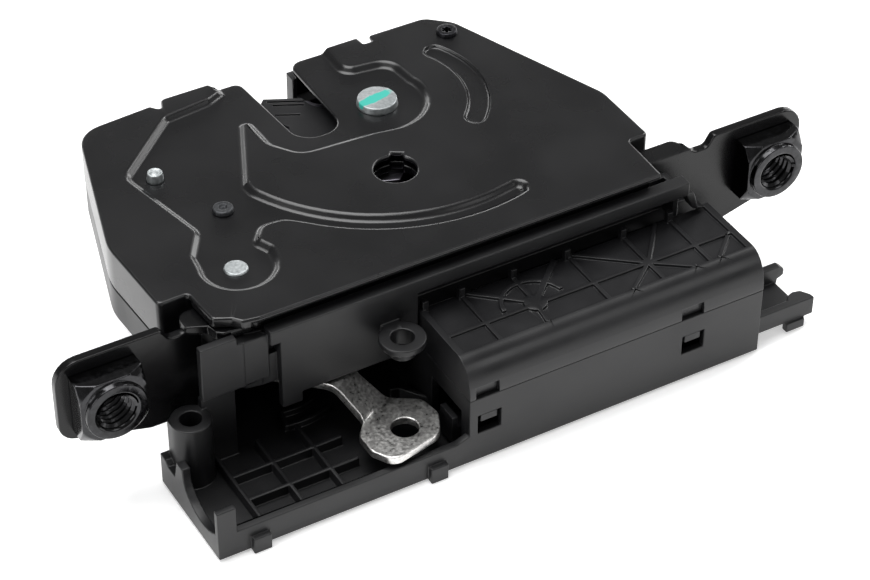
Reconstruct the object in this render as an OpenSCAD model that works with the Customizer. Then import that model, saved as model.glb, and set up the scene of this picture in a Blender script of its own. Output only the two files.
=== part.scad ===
// Trunk latch with a two-stage rotary catch, a pawl, a release lever and a geared motor that pushes the lever.
// X runs along the two mounting nuts, +Y points to the striker's mouth, +Z out of the cover plate.
// The origin lies midway between the two nut axes, on the back face of the mounting ears.

/* [Mounting] */
// Distance between the two mounting nuts
nut_spacing = 150; // [146:1:156]
// Radius of the nuts' threaded hole
nut_bore_r = 4; // [3:0.5:4.5]
// Width across the square of a weld nut
nut_square = 13.6; // [12:0.2:14]
// Height of the nut's square body
nut_body_h = 5; // [4:0.5:6]
// Radius of the round collar on the nut's front
nut_collar_r = 6.2; // [5.6:0.1:6.6]
// Height of that collar
nut_collar_h = 1.3; // [0.5:0.1:2]
// Thickness of the mounting ears and the frame plate
frame_t = 2; // [1.5:0.1:2.4]
// Half width between the ears' outer ends
ear_end_x = 84.5; // [83.5:0.5:88]
// Height of the ears' top edge over the nut axis
ear_top = 9.8; // [9:0.1:10]
// Depth of the ears' bottom edge at the inner side
ear_drop = 13; // [11:0.5:14]
// Depth of the ears' bottom edge at the outer end
ear_end_drop = 8; // [7.5:0.5:10]

/* [Cover plate] */
// Height of the cover's top face
cover_z = 11; // [10.8:0.1:11.6]
// Sheet thickness of the cover
cover_t = 1.2; // [1:0.1:1.4]
// Depth that the middle of the cover is pressed down
press_depth = 1.2; // [1:0.1:1.2]
// Front edge of the cover
cover_front = -8.8; // [-9.6:0.2:-8.2]
// Back edge of the cover
cover_back = 63.5; // [63:0.5:66]
// Left edge of the cover
cover_left = -60.6; // [-62:0.2:-60]
// Right edge of the cover
cover_right = 50.3; // [50:0.1:52]
// Height of the lower edge of the cover's skirt
skirt_z = 1.5; // [0.5:0.5:3]
// Depth of the small arc bead at the right
bead_depth = 0.6; // [0.3:0.1:0.8]

/* [Striker mouth] */
// Middle of the mouth
mouth_x = -6.7; // [-7.2:0.1:-6.2]
// Width of the mouth at its bottom
mouth_w = 10; // [9:0.5:11]
// Place of the mouth's bottom
mouth_bottom = 38.2; // [37:0.2:39]
// Thickness of the striker's rod that the mouth is made for
striker_d = 8.5; // [7:0.5:8.5]

/* [Catch] */
// Catch axis, across
catch_x = 8; // [7.5:0.5:8.5]
// Catch axis, along
catch_y = 42; // [41.5:0.5:42.5]
// Outer radius of the catch
catch_r = 25; // [24:0.5:25]
// Radius of the catch's hub side
catch_hub_r = 13.5; // [12:0.5:14]
// Radius at the bottom of the full-latch notch
notch_r = 21; // [20:0.5:21.5]
// Radius at the bottom of the first notch
first_notch_r = 22.2; // [21.5:0.5:23]
// Angle that the catch turns from open to closed
catch_travel = 62; // [60:1:63]
// Thickness of the catch's steel core
catch_t = 3.4; // [3:0.2:4]
// Thickness of the plastic jacket over and under the steel
jacket_t = 0.7; // [0.5:0.1:0.8]
// Radius of the catch rivet's shank
catch_pin_r = 3; // [2.5:0.1:3]
// Radius of the catch rivet's head
catch_head_r = 4.4; // [4:0.1:5]

/* [Pawl and lever] */
// Pawl axis, across
pawl_x = -42; // [-42.5:0.5:-41.5]
// Pawl axis, along
pawl_y = 7.7; // [7.2:0.1:8.2]
// Thickness of the pawl
pawl_t = 4; // [3.5:0.5:4.5]
// Radius of the pawl's hub
pawl_hub_r = 6.5; // [6:0.5:7]
// Angle that the pawl drops from riding to latched
pawl_drop = 5; // [4.5:0.25:5]
// Radius of the pawl rivet's shank
pawl_pin_r = 1.9; // [1.5:0.1:2]
// Radius of the pawl rivet's head
pawl_head_r = 2.5; // [2.4:0.1:3.4]
// Outer radius of the sleeve that joins the pawl to the lever
sleeve_r = 3.6; // [3.2:0.1:4]
// Thickness of the release lever's sheet
lever_t = 1.8; // [1.5:0.1:2]
// Height of the lever's top face at its hub
lever_z = -10; // [-10.4:0.2:-9.8]
// Height of the lever's top face at its cable pad
pad_z = -16; // [-16.2:0.1:-15.8]
// Cable hole in the lever, across
lever_hole_x = -22.1; // [-22.6:0.1:-21.6]
// Cable hole in the lever, along
lever_hole_y = -22.9; // [-23.2:0.1:-22.4]
// Radius of the cable hole
lever_hole_r = 2.8; // [2:0.2:3]

/* [Lock housing] */
// Height of the lock housing's bottom
lock_bottom = -6; // [-6.4:0.2:-6]
// Wall thickness of the lock housing
lock_wall = 1.8; // [1.5:0.1:2]
// Thickness of the steel back plate
back_t = 2; // [1.6:0.2:2]
// Front face of the bar along the housing's front
bar_front = -10.5; // [-10.6:0.1:-10.4]
// Height of the bar's top
bar_top = 7.7; // [7.2:0.1:8]
// Height of the bar's front face
bar_h = 3.2; // [2.6:0.2:3.6]
// Depth of the front wall over the lever bay
bay_wall_z = -9.5; // [-9.6:0.1:-9.2]

/* [Actuator housing] */
// Front face of the actuator housing
act_front = -30; // [-31:0.5:-30]
// Height of its bottom
act_bottom = -24.5; // [-25:0.1:-24.4]
// Height of the parting line under the cap
parting_z = -8.7; // [-8.8:0.1:-8.6]
// Left end of the open tray
tray_left = -66; // [-68:0.5:-66]
// Left end of the motor compartment
box_left = -11.7; // [-11.8:0.1:-11.4]
// Right end of the motor compartment
box_right = 56.8; // [56.4:0.1:57]
// Back face of the motor compartment
box_back = 3; // [3:0.5:4]
// Wall thickness of the actuator housing
act_wall = 1.8; // [1.5:0.1:1.8]
// Thickness of its floor
act_floor = 1.6; // [1.2:0.1:1.6]
// Height of the tray's front wall top
tray_wall_z = -18.7; // [-19:0.1:-18.6]
// Height of the ribs on the tray floor
floor_rib_h = 2.2; // [1.4:0.2:2.4]
// Thickness of ribs
rib_t = 0.9; // [0.6:0.1:1.2]
// Half width of the cable cradle in the left end wall
cradle_w = 7.6; // [7:0.2:8]
// Height of the cradle's bottom
cradle_z = -20.6; // [-21:0.2:-20]
// Right end of the plug trough
trough_right = 71.3; // [70:0.5:74]

/* [Actuator cap] */
// Height of the cap's flat top
cap_top = -1; // [-1.4:0.1:-0.8]
// Wall thickness of the cap
cap_wall = 1.6; // [1.2:0.1:1.8]
// Depth of the cap's long rounded front
cap_edge_w = 5.1; // [4.5:0.1:6]
// Height of that rounded front
cap_edge_h = 7.6; // [6.5:0.1:8]
// Height of the ribs on the cap
cap_rib_h = 0.6; // [0.3:0.1:0.8]
// Row of the long rib on the cap
cap_rib_y = -19.3; // [-19.5:0.1:-19]

/* [Drive] */
// Worm wheel axis, across
wheel_x = 9.1; // [8.6:0.1:9.6]
// Worm wheel axis, along
wheel_y = -17.5; // [-17.8:0.1:-17.2]
// Height of the worm's axis
motor_z = -15.5; // [-15.8:0.1:-15.4]
// Module of all gear teeth
gear_m = 0.8; // [0.8:0.05:0.8]
// Teeth on the worm wheel
wheel_teeth = 18; // [18:1:18]
// Teeth on the pinion under the wheel
pinion_teeth = 10; // [10:1:10]
// Thickness of the worm wheel's teeth band
wheel_t = 3; // [2.4:0.2:3]
// Pitch radius of the worm
worm_pitch_r = 2.4; // [2.4:0.1:2.6]
// Length of the worm's thread
worm_len = 12; // [10:1:13]
// Radius of the motor shaft
shaft_r = 1; // [0.8:0.1:1]
// Width of the motor can
motor_w = 15.5; // [14:0.5:15.5]
// Height of the motor can across its flats
motor_h = 12; // [11:0.5:12]
// Length of the motor can
motor_len = 23; // [22:1:24]
// Radius of the wheel's axle
axle_r = 1.2; // [1:0.1:1.4]

/* [Switch and plug] */
// Width of the micro switch
switch_w = 6.5; // [6:0.5:7]
// Length of the micro switch
switch_len = 12.8; // [12:0.2:13.4]
// Height of the micro switch
switch_h = 5.8; // [5:0.2:6]
// Width of the plug socket
socket_w = 18; // [16:1:20]
// Height of the plug socket
socket_h = 11; // [10:0.5:11]
// Depth of the plug socket
socket_len = 12; // [10:1:14]
// Wall thickness of the plug socket
socket_wall = 1.3; // [1:0.1:1.5]

/* [Hidden] */

$fn = 48;
// Small amount that cuts run past a face
eps = 0.1;
// Gap between parts that are fitted together
fit = 0.1;
// Gap between parts that move past each other
play = 0.3;
// Radial clearance of a turning fit
run = 0.05;
// Steps on a rounded corner of an outline
arc_steps = 6;

press_z = cover_z - press_depth;
frame_z = press_z - cover_t;
frame_low = frame_z - frame_t;
back_low = lock_bottom + lock_wall;
back_z = back_low + back_t;
core_z = frame_low - play - jacket_t - catch_t;
jacket_low = core_z - jacket_t;
pawl_z = core_z - (pawl_t - catch_t) / 2;
pad_low = pad_z - lever_t;
lever_low = lever_z - lever_t;
act_inner_z = act_bottom + act_floor;
cap_under = cap_top - cap_wall;
wheel_r = gear_m * wheel_teeth / 2;
pinion_r = gear_m * pinion_teeth / 2;
motor_y = wheel_y + wheel_r + worm_pitch_r;
motor_cap_len = 3;
terminal_len = 1.8;
// Room between the motor's terminals and the right wall
motor_room = 3.2;
motor_x = box_right - act_wall - motor_room - terminal_len - motor_cap_len - motor_len;
tooth = gear_m * PI;

// Unit vector along v
function unit(v) = v / norm(v);
// Point at radius r and angle a around c
function polar(c, r, a) = let (q = is_list(r) ? r : [r, r]) [c[0] + q[0] * cos(a), c[1] + q[1] * sin(a)];
// Points of an arc around c, whose radius r is one length or one along each axis
function arc(c, r, a0, a1, n) = [for (k = [0 : n]) polar(c, r, a0 + (a1 - a0) * k / n)];
// Points that round the corner b between a and d, where b is [x, y, radius]
function corner(a, b, d) = b[2] == 0 ? [[b[0], b[1]]] :
    let (p = [b[0], b[1]],
        u = unit([a[0], a[1]] - p),
        v = unit([d[0], d[1]] - p),
        half = acos(u * v) / 2,
        c = p + unit(u + v) * b[2] / sin(half),
        s = p + u * b[2] / tan(half) - c,
        e = p + v * b[2] / tan(half) - c,
        a0 = atan2(s[1], s[0]),
        turn = atan2(e[1], e[0]) - a0,
        sweep = turn > 180 ? turn - 360 : turn < -180 ? turn + 360 : turn)
    arc(c, b[2], a0, a0 + sweep, arc_steps);
// Points of an outline whose corners are [x, y, radius]
function rounded(c) = let (n = len(c))
    [for (i = [0 : n - 1]) each corner(c[(i + n - 1) % n], c[i], c[(i + 1) % n])];
// Points of an open chain whose inner corners are [x, y, radius]
function chain(c) = let (n = len(c)) concat([[c[0][0], c[0][1]]],
    [for (i = [1 : n - 2]) each corner(c[i - 1], c[i], c[i + 1])], [[c[n - 1][0], c[n - 1][1]]]);
// Corner of an outline moved outwards by d, for corners listed counterclockwise
function moved(a, b, e, d) =
    let (s = unit([b[0] - a[0], b[1] - a[1]]),
        t = unit([e[0] - b[0], e[1] - b[1]]),
        n1 = [s[1], -s[0]],
        n2 = [t[1], -t[0]],
        side = s[0] * t[1] - s[1] * t[0] > 0 ? 1 : -1,
        p = [b[0], b[1]] + (n1 + n2) * d / (1 + n1 * n2))
    [p[0], p[1], b[2] == 0 ? 0 : max(b[2] + side * d, 0.05)];
// Outline grown by d on all sides
function grown(c, d) = let (n = len(c))
    [for (i = [0 : n - 1]) moved(c[(i + n - 1) % n], c[i], c[(i + 1) % n], d)];

// Corners of the cover plate, counterclockwise from the front left
lip_w = 1.8;
cover_corners = [
    [cover_left + 15.4, cover_front, 2.5], [cover_right - 5.2, cover_front, 0.6],
    [cover_right - 4.8, 4, 0.8], [cover_right, 4, 1.2], [cover_right, 21, 8],
    [cover_right - 14, cover_back - 4.5, 5], [cover_right - 19, cover_back, 4],
    [17.8, cover_back, 0.6], [17.4, cover_back - 2.2, 0.4],
    [15.4, cover_back - 2.2, 0.4], [15.2, cover_back + 0.5, 0.6],
    [mouth_x + mouth_w / 2 + 0.4, cover_back + 0.5, 2.5],
    [mouth_x + mouth_w / 2, mouth_bottom, 4.6],
    [mouth_x - mouth_w / 2, mouth_bottom, 4.6],
    [mouth_x - mouth_w / 2 - lip_w, cover_back - 0.5, 2],
    [-19.6, cover_back - 0.5, 0.5], [-20, cover_back + 0.7, 0.8],
    [-31, cover_back + 0.7, 1.2], [-32.4, cover_back - 2.6, 0.6], [-34, cover_back - 0.4, 0.8],
    [cover_left + 9.9, cover_back - 1.7, 6.5],
    [cover_left - 0.6, 25, 16], [cover_left + 0.3, 4, 1.2],
    [cover_left + 6.6, 4.2, 0.8], [cover_left + 7.3, -4.8, 1.2],
    [cover_left + 10.6, -6.4, 1], [cover_left + 12, cover_front + 0.6, 1]];

// Outline of the pressed-down part of the cover; it runs out over the back edge
catch_at = [catch_x, catch_y];
lobe_at = [pawl_x + 0.6, pawl_y + 0.1];
lobe_r = 8;
press_arc_out = 43.4;
press_arc_in = 38.9;
press_mid = (press_arc_out + press_arc_in) / 2;
// Width of the sloping wall around the field
draft_w = 1.1;
press_outline = concat(
    chain([[-19.5, 60.9], [-22.5, 59.6, 1.5], [-33, 58.3, 2.5], [-49, 43.6, 3.5], [-44.2, 21, 3],
        [-48.4, 14.6, 3], polar(lobe_at, lobe_r, 162)]),
    arc(lobe_at, lobe_r, 170, 345, 16),
    chain([polar(lobe_at, lobe_r, 352), [-33.1, 9.2, 2], [-34.6, 12.6, 1.2], [-31.8, 16, 2.4], [-27.3, 15.8, 4],
        polar(catch_at, press_arc_out, -137)]),
    arc(catch_at, press_arc_out, -134, -78, 14),
    arc(polar(catch_at, press_mid, -76), (press_arc_out - press_arc_in) / 2, -60, 90, 5),
    arc(catch_at, press_arc_in, -78, -156, 18),
    chain([polar(catch_at, press_arc_in, -158), [-28.2, 29.8, 1.5], [-26.4, 33.6, 8], [-19.2, 49.2, 0.4],
        [-19, 39.5, 5], [-14.5, 32.9, 6], [2, 31.9, 8], polar(catch_at, 11, -95)]),
    arc(catch_at, 11, -88, 14, 10),
    chain([polar(catch_at, 11, 20), [17.6, 53.6, 4.5], [7.6, 55, 2.2], [7.8, 70]]),
    [[-19.5, 70]]);

// The cover's sheet outline
module cover_shape(d = 0) {
    polygon(rounded(grown(cover_corners, d)));
}

// Ring sector between two radii around the catch axis
module catch_band(r_in, r_out, a0, a1) {
    mid = (r_in + r_out) / 2;
    end_r = (r_out - r_in) / 2;
    polygon(concat(arc(catch_at, r_out, a0, a1, 12), arc(polar(catch_at, mid, a1), end_r, a1 + 30, a1 + 150, 4),
        arc(catch_at, r_in, a1, a0, 12), arc(polar(catch_at, mid, a0), end_r, a0 - 150, a0 - 30, 4)));
}

access_hole = [-0.4, 19.2];
access_r = 4.4;
// Width and direction of the access hole's key notch
key_w = 2.4;
key_turn = -32;
module access_cut(d, h) translate([access_hole[0], access_hole[1], 0]) {
    cylinder(r = access_r + d, h = h);
    rotate(key_turn) translate([-key_w / 2 - d, 0, 0]) cube([key_w + 2 * d, access_r + 1 + d, h]);
}
stop_at = [-43.2, 41.2];
stop_r = 1.6;
locator_at = [-36, 25.3];
locator_r = 1.5;
screw_at = [32.8, 56];
screw_r = 1.5;

// Holes that every plate under the cover shares
module plate_holes(z, h) {
    for (h_at = [[stop_at, stop_r], [locator_at, locator_r], [screw_at, screw_r]])
        translate([h_at[0][0], h_at[0][1], z]) cylinder(r = h_at[1] + fit / 2, h = h);
    translate([catch_x, catch_y, z]) cylinder(r = catch_pin_r + fit / 2, h = h);
}

// Room that the press leaves over its sunk field, with walls that slope outwards
module pressed() minkowski() {
    linear_extrude(eps) offset(delta = -draft_w) polygon(press_outline);
    cylinder(r1 = 0, r2 = draft_w, h = press_depth, $fn = 16);
}

module cover_plate() color("#141416") {
    difference() {
        union() {
            difference() {
                translate([0, 0, cover_z - cover_t]) linear_extrude(cover_t) cover_shape();
                translate([0, 0, press_z]) pressed();
                translate([0, 0, cover_z - bead_depth]) linear_extrude(cover_t) catch_band(19, 23.3, -46, 26);
            }
            translate([0, 0, frame_z]) linear_extrude(cover_t) intersection() {
                cover_shape();
                offset(delta = cover_t) polygon(press_outline);
            }
            skirt();
        }
        translate([0, 0, frame_z - eps]) {
            translate([pawl_x, pawl_y, 0]) cylinder(r = pawl_pin_r + fit / 2, h = 4);
            access_cut(0, 4);
        }
        plate_holes(frame_z - eps, 4);
    }
}

// Folded edge that hangs from the cover's sides and its left front corner
module skirt() {
    translate([0, 0, skirt_z]) linear_extrude(cover_z - cover_t - skirt_z + fit) intersection() {
        difference() {
            cover_shape();
            cover_shape(-cover_t);
        }
        union() {
            translate([cover_left - 2, 4]) square([11, cover_back - 2]);
            translate([cover_left, cover_back - 8]) square([22, 10]);
            translate([cover_right - 16, 4]) square([20, cover_back - 3]);
        }
    }
    corner_low = frame_z + fit;
    translate([0, 0, corner_low]) linear_extrude(cover_z - cover_t - corner_low + fit) intersection() {
        difference() {
            cover_shape();
            cover_shape(-cover_t);
        }
        translate([cover_left, cover_front - 1]) square([14, 13]);
    }
}

// Inner ends of the webs that join the ears to the frame plate
web_left = cover_left + 6.2;
web_right = cover_right - 4.5;
// Outline of one ear, in X and Z, for the side s = -1 left or 1 right
module ear_shape(s) {
    inner = s < 0 ? -web_left : web_right;
    web_low = s < 0 ? -ear_drop : lock_bottom - 0.6;
    neck = 59;
    polygon([for (p = rounded([[inner, web_low, 0], [inner, frame_z, 0], [neck - 3, frame_z, 0.8],
        [neck - 1, frame_z - 1.3, 2], [neck + 2, frame_z - 1.4, 1.5], [neck + 3.6, ear_top, 1],
        [ear_end_x, ear_top, 5], [ear_end_x, -ear_end_drop, 4], [neck + 7, -ear_drop, 2],
        [neck + 1.5, -ear_drop, s < 0 ? 0 : 1.5], [neck, web_low, s < 0 ? 0 : 1.5]]))
        [s * p[0], p[1]]]);
}

// Tabs of the frame plate that run out to the ears, past the cover's front corners
module ear_tabs() {
    polygon(rounded([[-57.5, -frame_t, 0], [-46, -7, 0], [-46, 3, 0], [-57.5, 2.6, 2]]));
    polygon(rounded([[-54, -frame_t, 0], [-53.2, -6, 1], [-52, -7, 1], [-46, -7, 0], [-46, 0, 0]]));
    polygon(rounded([[40, -frame_t, 0], [57, -frame_t, 0], [55.2, 2.6, 1.8], [40, 2.6, 0]]));
}

module frame_plate() color("#17171a") difference() {
    union() {
        translate([0, 0, frame_low]) linear_extrude(frame_t) difference() {
            union() {
                cover_shape(-1.8);
                ear_tabs();
            }
            translate([pawl_x, pawl_y]) circle(r = pawl_pin_r + fit / 2);
        }
        for (s = [-1, 1]) rotate([90, 0, 0]) linear_extrude(frame_t) ear_shape(s);
    }
    for (s = [-1, 1]) translate([s * nut_spacing / 2, eps, 0]) rotate([90, 0, 0])
        cylinder(r = nut_bore_r, h = frame_t + 2 * eps);
    translate([0, 0, frame_low - eps]) access_cut(fit, frame_t + 1);
    plate_holes(frame_low - eps, frame_t + 1);
}

// Square weld nut with a chamfered face and a round collar, threaded through
module weld_nut(s) {
    bevel = 0.6;
    color("#1b1b1f") translate([s * nut_spacing / 2, -frame_t, 0]) rotate([90, 0, 0]) difference() {
        union() {
            intersection() {
                translate([-nut_square / 2, -nut_square / 2, 0]) cube([nut_square, nut_square, nut_body_h]);
                cylinder(r1 = nut_square / 2 + 6, r2 = nut_square / 2 + bevel, h = nut_body_h);
            }
            translate([0, 0, nut_body_h]) cylinder(r = nut_collar_r, h = nut_collar_h);
        }
        translate([0, 0, -eps]) cylinder(r = nut_bore_r, h = nut_body_h + nut_collar_h + 2 * eps);
        translate([0, 0, nut_body_h + nut_collar_h - 0.5])
            cylinder(r1 = nut_bore_r, r2 = nut_bore_r + 0.6, h = 0.6);
    }
}
module weld_nut_left() weld_nut(-1);
module weld_nut_right() weld_nut(1);

post_r = 3.6;
screw_spots = [[-14.6, 12.4], [20, 7.4], [46.5, 8]];
thread_r = 1.5;
post_spots = [stop_at, locator_at, screw_at];
slot_x = 27.6;
slot_w = 5.6;
blade_y = 0.3;
blade_t = 0.5;
pedestal = [catch_x + catch_hub_r + 2.1, catch_y - switch_len / 2 + 1];
pedestal_w = 4;
pedestal_len = switch_len - 2;
sweep_gap = 0.8;
bumper_w = 7.6;
bumper_y = 33.6;

// Room that the catch needs while it turns, seen from above
module catch_sweep() {
    polygon(concat([catch_at], arc(catch_at, catch_r + sweep_gap, 134, 306, 24)));
    polygon(concat([catch_at], arc(catch_at, hook_reach + 0.4, 55, 168, 16)));
    circle_at(catch_at, catch_hub_r + sweep_gap);
}

module circle_at(p, r) translate([p[0], p[1]]) circle(r = r);

module box(low, high) translate(low) cube(high - low);

// Walls along the front: the bar, the bay wall under it and the left wing
module lock_front() {
    ring_y = cover_front + cover_t + play;
    bar_left = cover_left + 16.6;
    bar_right = cover_right + 0.7;
    bay_left = bar_left + 2;
    bar_low = bar_top - bar_h;
    box([bar_left, bar_front, bar_low], [bar_right, ring_y - fit, bar_top]);
    box([bar_left, bar_front, bar_low], [bar_right - 6, ring_y + 1, frame_low - fit]);
    box([bay_left, bar_front + 0.6, lock_bottom], [box_left - play, ring_y + 1, bar_low + eps]);
    bar_end(bar_right, bar_low);
    box([bay_left, bar_front, bay_wall_z], [box_left - play, bar_front + lock_wall, bar_low + eps]);
    box([bay_left, bar_front, bay_wall_z - 2.4], [bay_left + 4.4, bar_front + lock_wall, bar_low]);
    wing_right = cover_left + 10.3;
    wing_left = wing_right - 7.7;
    box([wing_left, -9, -4.5], [wing_right, -9 + lock_wall, 8]);
    box([wing_right - lock_wall, -9, -4.5], [wing_right + 1.5, -4, frame_low - fit]);
    box([wing_right + 1.2, -9.2, -4], [bar_left + 0.2, ring_y + 0.6, frame_low - fit]);
}

// Curved web that closes the recess under the bar's right end, drawn in X and Z
module bar_end(x, z) translate([0, cover_front + cover_t, 0]) rotate([90, 0, 0])
    linear_extrude(cover_front + cover_t - bar_front)
        polygon([[x - 0.8, z + eps], [x + 1.3, z + eps], [x + 2.4, 0.8], [x + 4.2, -0.1], [x + 2.4, -0.1],
            [x + 1.2, 0.6]]);

// Screw lug that stands off the bay wall: a thin ring on a narrower sleeve
lug_at = [-18.4, -15.5];
lug_r = 4.7;
lug_bore_r = 2.3;
lug_t = 1.4;
lug_h = 4;
module lock_lug() difference() {
    union() {
        translate([lug_at[0], lug_at[1], -lug_t]) cylinder(r = lug_r, h = lug_t);
        translate([lug_at[0], lug_at[1], -lug_h]) cylinder(r = lug_bore_r + 0.5, h = lug_h);
        box([lug_at[0] - 2, lug_at[1], -lug_t], [lug_at[0] + 2, bar_front + eps, 0]);
        box([lug_at[0] - 1, lug_at[1], -lug_h], [lug_at[0] + 1, bar_front + eps, -lug_t + eps]);
    }
    translate([lug_at[0], lug_at[1], -lug_h - eps]) cylinder(r = lug_bore_r, h = lug_h + 1);
}

// Trough let into the front wall under the bar, behind the cap's back edge
trough_z = back_z + 0.9;
trough_y = -5;
trough_end = cover_right - 0.6;
module front_recess() {
    box([box_left - play, cover_front, trough_z - 0.8], [trough_end, trough_y + 1.4, trough_z]);
    box([box_left - play - 1.4, trough_y, trough_z - 0.8], [trough_end, trough_y + 1.4, frame_low - fit]);
    box([trough_end - 1.4, trough_y, lock_bottom], [box_right, trough_y + 1.4, trough_z - 0.2]);
    for (x = [box_left - play - 1.4, trough_end - 1.4])
        box([x, bar_front + 1.8, trough_z - 0.8], [x + 1.4, trough_y + 1.4, frame_low - fit]);
}

// Wall behind the cover's back edge, which gives the hook room as it swings past the mouth
module hook_wall() {
    wall_t = 1.2;
    wall_low = cover_back - 1;
    wall_y = catch_y + hook_reach + 0.5;
    left = mouth_x + mouth_w / 2 + 0.5;
    right = catch_x + 11;
    high = frame_low - fit;
    box([left, wall_low, lock_bottom], [right, wall_y + wall_t, back_low]);
    box([left, wall_low, lock_bottom], [left + wall_t, wall_y + wall_t, high]);
    box([left, wall_y, lock_bottom], [right, wall_y + wall_t, high]);
    box([right - wall_t, wall_low - 1, lock_bottom], [right, wall_y + wall_t, high]);
}

module lock_housing() color("#1c1c1e") {
    ledge = skirt_z - play;
    difference() {
        union() {
            translate([0, 0, lock_bottom]) linear_extrude(lock_wall) cover_shape(-fit);
            translate([0, 0, lock_bottom]) linear_extrude(ledge - lock_bottom) difference() {
                cover_shape(-fit);
                cover_shape(-fit - lock_wall);
            }
            translate([0, 0, ledge - lock_wall]) linear_extrude(lock_wall) difference() {
                cover_shape(-fit);
                cover_shape(-cover_t - play - lock_wall);
            }
            translate([0, 0, ledge - eps]) linear_extrude(frame_low - ledge + eps) difference() {
                cover_shape(-cover_t - play);
                cover_shape(-cover_t - play - lock_wall);
            }
            translate([0, 0, lock_bottom]) linear_extrude(frame_low - lock_bottom) intersection() {
                cover_shape(-cover_t - play);
                for (p = post_spots) circle_at(p, post_r);
            }
            box([pedestal[0], pedestal[1], lock_bottom],
                [pedestal[0] + pedestal_w, pedestal[1] + pedestal_len, frame_low - fit - switch_h]);
            difference() {
                lock_front();
                translate([0, 0, back_low]) linear_extrude(frame_low) cover_shape(-fit - lock_wall);
            }
            front_recess();
            hook_wall();
        }
        box([box_left - play, cover_front - 0.5, trough_z], [trough_end - 1.4, trough_y, bar_top - bar_h]);
        translate([0, 0, jacket_low - play]) linear_extrude(frame_low) catch_sweep();
        for (p = screw_spots)
            translate([p[0], p[1], lock_bottom - eps]) cylinder(r = thread_r + fit, h = lock_wall + 1);
        plate_holes(lock_bottom - eps, 20);
        translate([pawl_x, pawl_y, lock_bottom - eps]) cylinder(r = sleeve_r + play + fit, h = lock_wall + 1);
        box([slot_x, -1, lock_bottom - eps], [slot_x + slot_w, 1.4, back_low + eps]);
        box([mouth_x - bumper_w / 2 - fit, bumper_y - fit, back_z],
            [mouth_x + bumper_w / 2 + fit, mouth_bottom + 1, jacket_low]);
    }
    lock_lug();
}

module back_plate() color("#3a3b3d") difference() {
    translate([0, 0, back_low]) linear_extrude(back_t) difference() {
        cover_shape(-fit - lock_wall - play);
        for (p = post_spots) circle_at(p, post_r + fit);
        circle_at([pawl_x, pawl_y], sleeve_r + run);
        circle_at([catch_x, catch_y], catch_pin_r + fit / 2);
        for (p = screw_spots) circle_at(p, thread_r + run);
        translate([slot_x, -1]) square([slot_w, 2.4]);
        translate([pedestal[0] - play, pedestal[1] - play])
            square([pedestal_w + 2 * play, pedestal_len + 2 * play]);
        translate([-41, 30]) square([14, 22]);
    }
}

// Points of the catch in its closed position, about its own axis; the striker lies in the round seat
seat_at = [-15.2, 2.4];
seat_r = 4.4;
flank_at = [-16.2, -2];
tip_a = 197.3;
tooth_a = -107.6;
catch_corners = concat(
    arc([0, 0], catch_r, tip_a, 222, 6),
    arc([0, 0], notch_r, 225, 360 + tooth_a - 1.5, 5),
    arc([0, 0], catch_r, 360 + tooth_a, 262, 3),
    arc([0, 0], first_notch_r, 263.5, 274.5, 3),
    arc([0, 0], catch_r, 276, 283.5, 3),
    arc([0, 0], notch_r, 287, 316, 6),
    arc([0, 0], catch_hub_r, 338, 430, 12),
    chain([[1.5, 14.8], [-3, 17.2, 5], [-12, 17.2, 5], [-18.6, 11.6, 2], [-18.6, 6.8, 1], [-15.2, 6.8]]),
    arc(seat_at, seat_r, 80, -80, 10),
    [flank_at]);
hook_reach = norm([18.6, 11.6]);

// Catch outline at rest, which is the open position
module catch_shape(d = 0) {
    translate([catch_x, catch_y]) rotate(-catch_travel) offset(delta = d) polygon(catch_corners);
}

rivet_holes = [[-20.5, -7.5], [-4, 13.5], [6, -9]];

plug_r = 1.85;
module catch_core() color("#8f8d94")
    translate([catch_x, catch_y, core_z]) rotate(-catch_travel) linear_extrude(catch_t) difference() {
        polygon(catch_corners);
        circle(r = catch_pin_r + run);
        for (p = rivet_holes) circle_at(p, plug_r + run);
    }

// Slits that let the jacket give when the striker knocks on it, along the flank of the lower arm
flank_a = atan2(flank_at[1] - catch_r * sin(tip_a), flank_at[0] - catch_r * cos(tip_a));
slits = [[0.8, -8.6, 7.8], [2.1, -7.4, 6.6], [5.6, -7, 5.4]];
slit_w = 0.5;

// Plastic over and under the steel, joined by plugs through it, with the teeth and the seat left bare
module catch_jacket() color("#202022") translate([catch_x, catch_y, 0]) rotate(-catch_travel) {
    for (z = [jacket_low, core_z + catch_t]) translate([0, 0, z]) linear_extrude(jacket_t) difference() {
        intersection() {
            polygon(catch_corners);
            union() {
                circle(r = notch_r - 2.4);
                translate([-catch_r, -12.6]) square([catch_r - 10.4, 11.4]);
            }
        }
        circle(r = catch_pin_r + 2.6);
        circle_at([seat_at[0] + 1.4, seat_at[1]], seat_r + 1.6);
        translate(flank_at) rotate(flank_a)
            for (c = slits) translate([c[1], -c[0] - slit_w]) square([c[2], slit_w]);
    }
    for (p = rivet_holes) translate([p[0], p[1], core_z - eps]) cylinder(r = plug_r, h = catch_t + 2 * eps);
}

// Round rivet: shank from z0 to z1 with a head over z1 and a head under z0
module rivet(p, r, z0, z1, head_r, head_h, foot_r, foot_h) {
    translate([p[0], p[1], z0]) cylinder(r = r, h = z1 - z0);
    translate([p[0], p[1], z1]) cylinder(r1 = head_r, r2 = head_r - 0.3, h = head_h);
    translate([p[0], p[1], z0 - foot_h]) cylinder(r = foot_r, h = foot_h);
}

collar_r = 4.5;
module catch_pivot() color("#d5d5d2") {
    rivet([catch_x, catch_y], catch_pin_r, lock_bottom, press_z, catch_head_r, 1.5, catch_head_r, 1.4);
    translate([catch_x, catch_y, back_z]) cylinder(r = collar_r, h = core_z - fit - back_z);
}

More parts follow.
